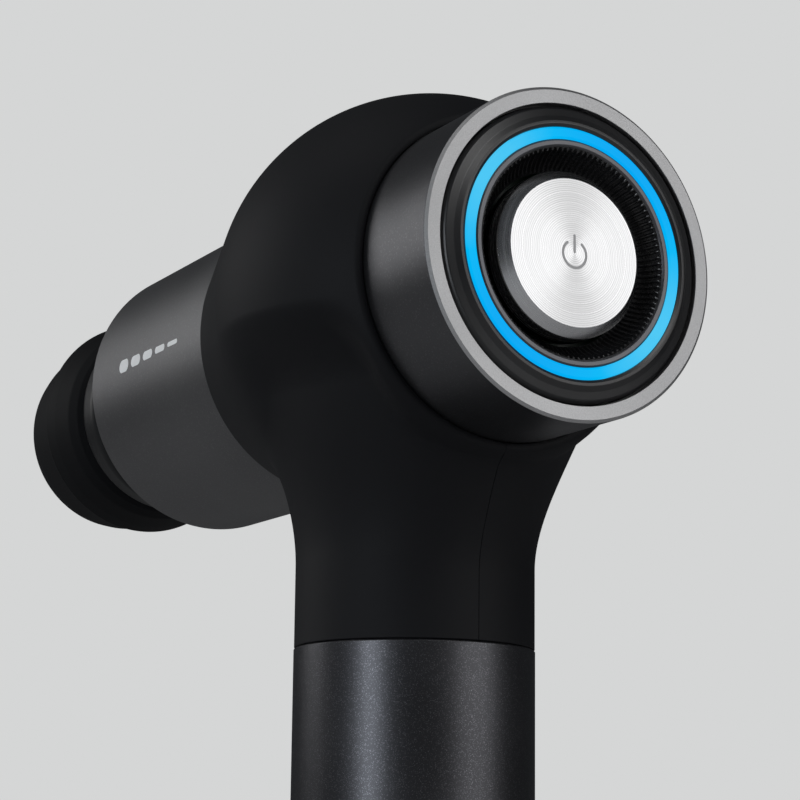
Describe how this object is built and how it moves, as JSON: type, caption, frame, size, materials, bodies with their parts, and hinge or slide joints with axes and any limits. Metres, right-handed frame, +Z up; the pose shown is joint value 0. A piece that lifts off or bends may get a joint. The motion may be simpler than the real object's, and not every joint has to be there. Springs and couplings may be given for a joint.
{
  "type": "massage gun",
  "caption": "Cordless percussion massage gun: round head with lit rear power button, front sleeve with a removable reciprocating massage head, tubular handle it stands on.",
  "frame": {"origin": "centre of the flat base face at the bottom of the handle", "axes": "+Z up along the handle axis, +X towards the massage head, -X towards the power button, +Y completes the right-handed set"},
  "size_m": [0.2057, 0.082, 0.252],
  "materials": {
    "housing_left": "soft-touch matt",
    "housing_right": "soft-touch matt",
    "rear_cap_ring": "anodised satin, bead-blasted rim",
    "bezel_ring": "satin",
    "light_ring": "diffusing",
    "inner_trim_ring": "satin",
    "ribbed_funnel": "gloss",
    "power_button": "spun face",
    "cap_carrier": "moulded",
    "led_board": "solder mask",
    "control_board": "solder mask",
    "tact_switch": "moulded",
    "carrier_screws": "zinc",
    "motor_bracket": "cast",
    "bracket_screws": "zinc",
    "motor_bearings": "ground",
    "stator_core": "laminated",
    "motor_windings": "enamelled copper",
    "rotor_bell": "blackened",
    "rotor_magnets": "nickel plated",
    "motor_shaft": "ground",
    "crank_disc": "machined",
    "crank_pin": "ground",
    "rod_bearing": "ground",
    "connecting_rod": "cast",
    "wrist_pin": "ground",
    "piston": "turned",
    "guide_bushing": "sintered bronze",
    "guide_housing": "glass-filled",
    "damper_rings": "moulded",
    "front_sleeve": "satin",
    "nose_ring": "gloss",
    "front_wiper": "moulded",
    "head_core": "semi-gloss",
    "head_cushion": "moulded",
    "stem_rings": "moulded",
    "coupling_ring": "turned",
    "coupling_screws": "zinc",
    "handle_tube": "anodised, fine sparkle",
    "base_cap": "satin",
    "charge_port": "plated",
    "battery_cells": "shrink wrapped cans",
    "upper_cell_holder": "moulded",
    "middle_cell_holder": "moulded",
    "lower_cell_holder": "moulded",
    "battery_board": "solder mask",
    "battery_leads": "insulated",
    "cell_straps": "nickel"
  },
  "bodies": {
    "housing": {"housing_left": "housing_left", "housing_right": "housing_right", "rear_cap_ring": "rear_cap_ring", "bezel_ring": "bezel_ring", "light_ring": "light_ring", "inner_trim_ring": "inner_trim_ring", "ribbed_funnel": "ribbed_funnel", "cap_carrier": "cap_carrier", "led_board": "led_board", "control_board": "control_board", "tact_switch": "tact_switch", "carrier_screws": "carrier_screws", "motor_bracket": "motor_bracket", "bracket_screws": "bracket_screws", "motor_bearings": "motor_bearings", "stator_core": "stator_core", "motor_windings": "motor_windings", "guide_bushing": "guide_bushing", "guide_housing": "guide_housing", "damper_rings": "damper_rings", "front_sleeve": "front_sleeve", "nose_ring": "nose_ring", "front_wiper": "front_wiper", "coupling_ring": "coupling_ring", "coupling_screws": "coupling_screws", "handle_tube": "handle_tube", "base_cap": "base_cap", "charge_port": "charge_port", "battery_cells": "battery_cells", "upper_cell_holder": "upper_cell_holder", "middle_cell_holder": "middle_cell_holder", "lower_cell_holder": "lower_cell_holder", "battery_board": "battery_board", "battery_leads": "battery_leads", "cell_straps": "cell_straps"},
    "rotor": {"rotor_bell": "rotor_bell", "rotor_magnets": "rotor_magnets", "motor_shaft": "motor_shaft", "crank_disc": "crank_disc"},
    "rod": {"connecting_rod": "connecting_rod", "rod_bearing": "rod_bearing", "crank_pin": "crank_pin"},
    "piston": {"piston": "piston", "wrist_pin": "wrist_pin"},
    "massage_head": {"head_core": "head_core", "head_cushion": "head_cushion", "stem_rings": "stem_rings"},
    "button": {"power_button": "power_button"}
  },
  "joints": [
    {"name": "rotor_spin", "type": "hinge", "parent": "housing", "child": "rotor", "pos_m": [-0.004, 0, 0.211], "axis": [0, 1, 0], "continuous": true},
    {"name": "piston_slide", "type": "slide", "parent": "housing", "child": "piston", "axis": [-1, 0, 0], "range_m": [0, 0.012]},
    {"name": "rod_swing", "type": "hinge", "parent": "piston", "child": "rod", "pos_m": [0.04, 0, 0.211], "axis": [0, 1, 0], "range_deg": [-9.1, 9.1]},
    {"name": "head_pull", "type": "slide", "parent": "piston", "child": "massage_head", "axis": [1, 0, 0], "range_m": [0, 0.03]},
    {"name": "button_press", "type": "slide", "parent": "housing", "child": "button", "axis": [1, 0, 0], "range_m": [0, 0.0008], "stiffness_N_per_m": 1500}
  ]
}
